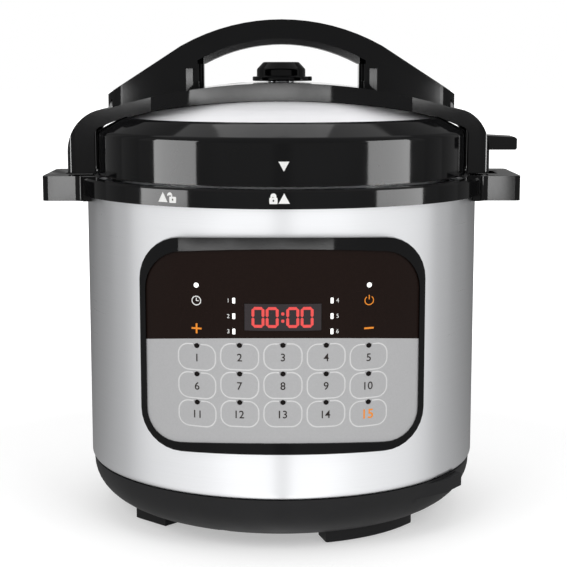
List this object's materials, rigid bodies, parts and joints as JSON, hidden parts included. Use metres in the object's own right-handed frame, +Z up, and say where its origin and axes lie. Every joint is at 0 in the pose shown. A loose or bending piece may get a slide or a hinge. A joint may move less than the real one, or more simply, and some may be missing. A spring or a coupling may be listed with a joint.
{
  "type": "electric pressure cooker",
  "caption": "Drum-shaped electric pressure cooker with a front control panel, side handles and a twist-lock lid with an arched carrying handle.",
  "frame": {"origin": "on the table under the middle of the drum", "axes": "+Z up, -Y out of the control panel, +X to the right as seen from the front"},
  "size_m": [0.3195, 0.275, 0.3342],
  "materials": {
    "base_plastic": "fine matte charcoal",
    "rubber_black": "matte",
    "steel_drum": "satin, brushed round the drum",
    "steel_polished": "polished",
    "steel_sheet": "plain sheet",
    "gloss_black": "gloss black",
    "aluminium_cast": "cast",
    "pot_coating": "dark non-stick coating",
    "spring_steel": "plain",
    "ceramic": "white ceramic",
    "switch_plastic": "plain",
    "board_green": "solder mask",
    "component_blue": "plain",
    "film_dark": "dark brown-black above, light grey below",
    "film_grey": "light grey print",
    "display_red": "red digits behind a dark window",
    "light_white": "clear light pipe",
    "brass_pins": "plain",
    "wire_red": "silicone sleeve",
    "silicone": "translucent silicone",
    "float_red": "red"
  },
  "bodies": {
    "base": {"base_cover": "base_plastic", "rubber_feet": "rubber_black", "base_screws": "spring_steel", "drum": "steel_drum", "upper_rim": "gloss_black", "cooker_liner": "steel_sheet", "heating_plate": "aluminium_cast", "heater_terminals": "ceramic", "pressure_plate": "spring_steel", "sensor_spring": "spring_steel", "pressure_switch": "switch_plastic", "thermal_fuse": "ceramic", "power_board": "board_green", "board_parts": "component_blue", "control_board": "board_green", "key_switches": "switch_plastic", "display_module": "display_red", "panel_bezel": "gloss_black", "panel_film": "film_dark", "indicator_lights": "light_white", "panel_screws": "spring_steel", "power_inlet": "base_plastic", "inlet_pins": "brass_pins", "wiring": "wire_red"},
    "temperature_sensor": {"sensor_button": "aluminium_cast"},
    "pot": {"inner_pot": "pot_coating"},
    "seal": {"sealing_ring": "silicone", "ring_rack": "steel_sheet"},
    "lid": {"lid_shell": "steel_polished", "lid_ring": "gloss_black", "lid_bracket": "gloss_black", "lid_handle": "gloss_black", "handle_insert": "gloss_black", "lid_screws": "spring_steel", "vent_pipe": "steel_sheet", "vent_shield": "steel_sheet", "float_seat": "steel_sheet"},
    "valve_weight": {"valve_weight": "spring_steel"},
    "valve_knob": {"valve_knob": "gloss_black"},
    "float_valve": {"float_pin": "float_red", "float_gasket": "silicone"},
    "timer_key": {"timer_key": "film_dark"},
    "cancel_key": {"cancel_key": "film_dark"},
    "plus_key": {"plus_key": "film_dark"},
    "minus_key": {"minus_key": "film_dark"},
    "key_1": {"key_1": "film_grey"},
    "key_2": {"key_2": "film_grey"},
    "key_3": {"key_3": "film_grey"},
    "key_4": {"key_4": "film_grey"},
    "key_5": {"key_5": "film_grey"},
    "key_6": {"key_6": "film_grey"},
    "key_7": {"key_7": "film_grey"},
    "key_8": {"key_8": "film_grey"},
    "key_9": {"key_9": "film_grey"},
    "key_10": {"key_10": "film_grey"},
    "key_11": {"key_11": "film_grey"},
    "key_12": {"key_12": "film_grey"},
    "key_13": {"key_13": "film_grey"},
    "key_14": {"key_14": "film_grey"},
    "key_15": {"key_15": "film_grey"}
  },
  "joints": [
    {"name": "pot_lift", "type": "slide", "parent": "base", "child": "pot", "axis": [0, 0, 1], "range_m": [0, 0.2]},
    {"name": "lid_lift", "type": "slide", "parent": "pot", "child": "seal", "axis": [0, 0, 1], "range_m": [0, 0.2]},
    {"name": "lid_turn", "type": "hinge", "parent": "seal", "child": "lid", "pos_m": [0, 0, 0.24], "axis": [0, 0, 1], "range_deg": [-30, 0]},
    {"name": "valve_lift", "type": "slide", "parent": "lid", "child": "valve_weight", "axis": [0, 0, 1], "range_m": [0, 0.0025]},
    {"name": "knob_turn", "type": "hinge", "parent": "valve_weight", "child": "valve_knob", "pos_m": [0, 0.04, 0.3], "axis": [0, 0, 1], "range_deg": [-45, 45]},
    {"name": "float_rise", "type": "slide", "parent": "lid", "child": "float_valve", "axis": [0, 0, 1], "range_m": [0, 0.0037]},
    {"name": "sensor_press", "type": "slide", "parent": "base", "child": "temperature_sensor", "axis": [0, 0, 1], "range_m": [-0.003, 0], "stiffness_N_per_m": 150, "springref_m": 0.004, "deforming": ["sensor_spring"]},
    {"name": "timer_key_press", "type": "slide", "parent": "base", "child": "timer_key", "axis": [0, 1, 0], "range_m": [0, 0.0005], "stiffness_N_per_m": 1500, "springref_m": -0.0003},
    {"name": "cancel_key_press", "type": "slide", "parent": "base", "child": "cancel_key", "axis": [0, 1, 0], "range_m": [0, 0.0005], "stiffness_N_per_m": 1500, "springref_m": -0.0003},
    {"name": "plus_key_press", "type": "slide", "parent": "base", "child": "plus_key", "axis": [0, 1, 0], "range_m": [0, 0.0005], "stiffness_N_per_m": 1500, "springref_m": -0.0003},
    {"name": "minus_key_press", "type": "slide", "parent": "base", "child": "minus_key", "axis": [0, 1, 0], "range_m": [0, 0.0005], "stiffness_N_per_m": 1500, "springref_m": -0.0003},
    {"name": "key_1_press", "type": "slide", "parent": "base", "child": "key_1", "axis": [0, 1, 0], "range_m": [0, 0.0005], "stiffness_N_per_m": 1500, "springref_m": -0.0003},
    {"name": "key_2_press", "type": "slide", "parent": "base", "child": "key_2", "axis": [0, 1, 0], "range_m": [0, 0.0005], "stiffness_N_per_m": 1500, "springref_m": -0.0003},
    {"name": "key_3_press", "type": "slide", "parent": "base", "child": "key_3", "axis": [0, 1, 0], "range_m": [0, 0.0005], "stiffness_N_per_m": 1500, "springref_m": -0.0003},
    {"name": "key_4_press", "type": "slide", "parent": "base", "child": "key_4", "axis": [0, 1, 0], "range_m": [0, 0.0005], "stiffness_N_per_m": 1500, "springref_m": -0.0003},
    {"name": "key_5_press", "type": "slide", "parent": "base", "child": "key_5", "axis": [0, 1, 0], "range_m": [0, 0.0005], "stiffness_N_per_m": 1500, "springref_m": -0.0003},
    {"name": "key_6_press", "type": "slide", "parent": "base", "child": "key_6", "axis": [0, 1, 0], "range_m": [0, 0.0005], "stiffness_N_per_m": 1500, "springref_m": -0.0003},
    {"name": "key_7_press", "type": "slide", "parent": "base", "child": "key_7", "axis": [0, 1, 0], "range_m": [0, 0.0005], "stiffness_N_per_m": 1500, "springref_m": -0.0003},
    {"name": "key_8_press", "type": "slide", "parent": "base", "child": "key_8", "axis": [0, 1, 0], "range_m": [0, 0.0005], "stiffness_N_per_m": 1500, "springref_m": -0.0003},
    {"name": "key_9_press", "type": "slide", "parent": "base", "child": "key_9", "axis": [0, 1, 0], "range_m": [0, 0.0005], "stiffness_N_per_m": 1500, "springref_m": -0.0003},
    {"name": "key_10_press", "type": "slide", "parent": "base", "child": "key_10", "axis": [0, 1, 0], "range_m": [0, 0.0005], "stiffness_N_per_m": 1500, "springref_m": -0.0003},
    {"name": "key_11_press", "type": "slide", "parent": "base", "child": "key_11", "axis": [0, 1, 0], "range_m": [0, 0.0005], "stiffness_N_per_m": 1500, "springref_m": -0.0003},
    {"name": "key_12_press", "type": "slide", "parent": "base", "child": "key_12", "axis": [0, 1, 0], "range_m": [0, 0.0005], "stiffness_N_per_m": 1500, "springref_m": -0.0003},
    {"name": "key_13_press", "type": "slide", "parent": "base", "child": "key_13", "axis": [0, 1, 0], "range_m": [0, 0.0005], "stiffness_N_per_m": 1500, "springref_m": -0.0003},
    {"name": "key_14_press", "type": "slide", "parent": "base", "child": "key_14", "axis": [0, 1, 0], "range_m": [0, 0.0005], "stiffness_N_per_m": 1500, "springref_m": -0.0003},
    {"name": "key_15_press", "type": "slide", "parent": "base", "child": "key_15", "axis": [0, 1, 0], "range_m": [0, 0.0005], "stiffness_N_per_m": 1500, "springref_m": -0.0003}
  ]
}
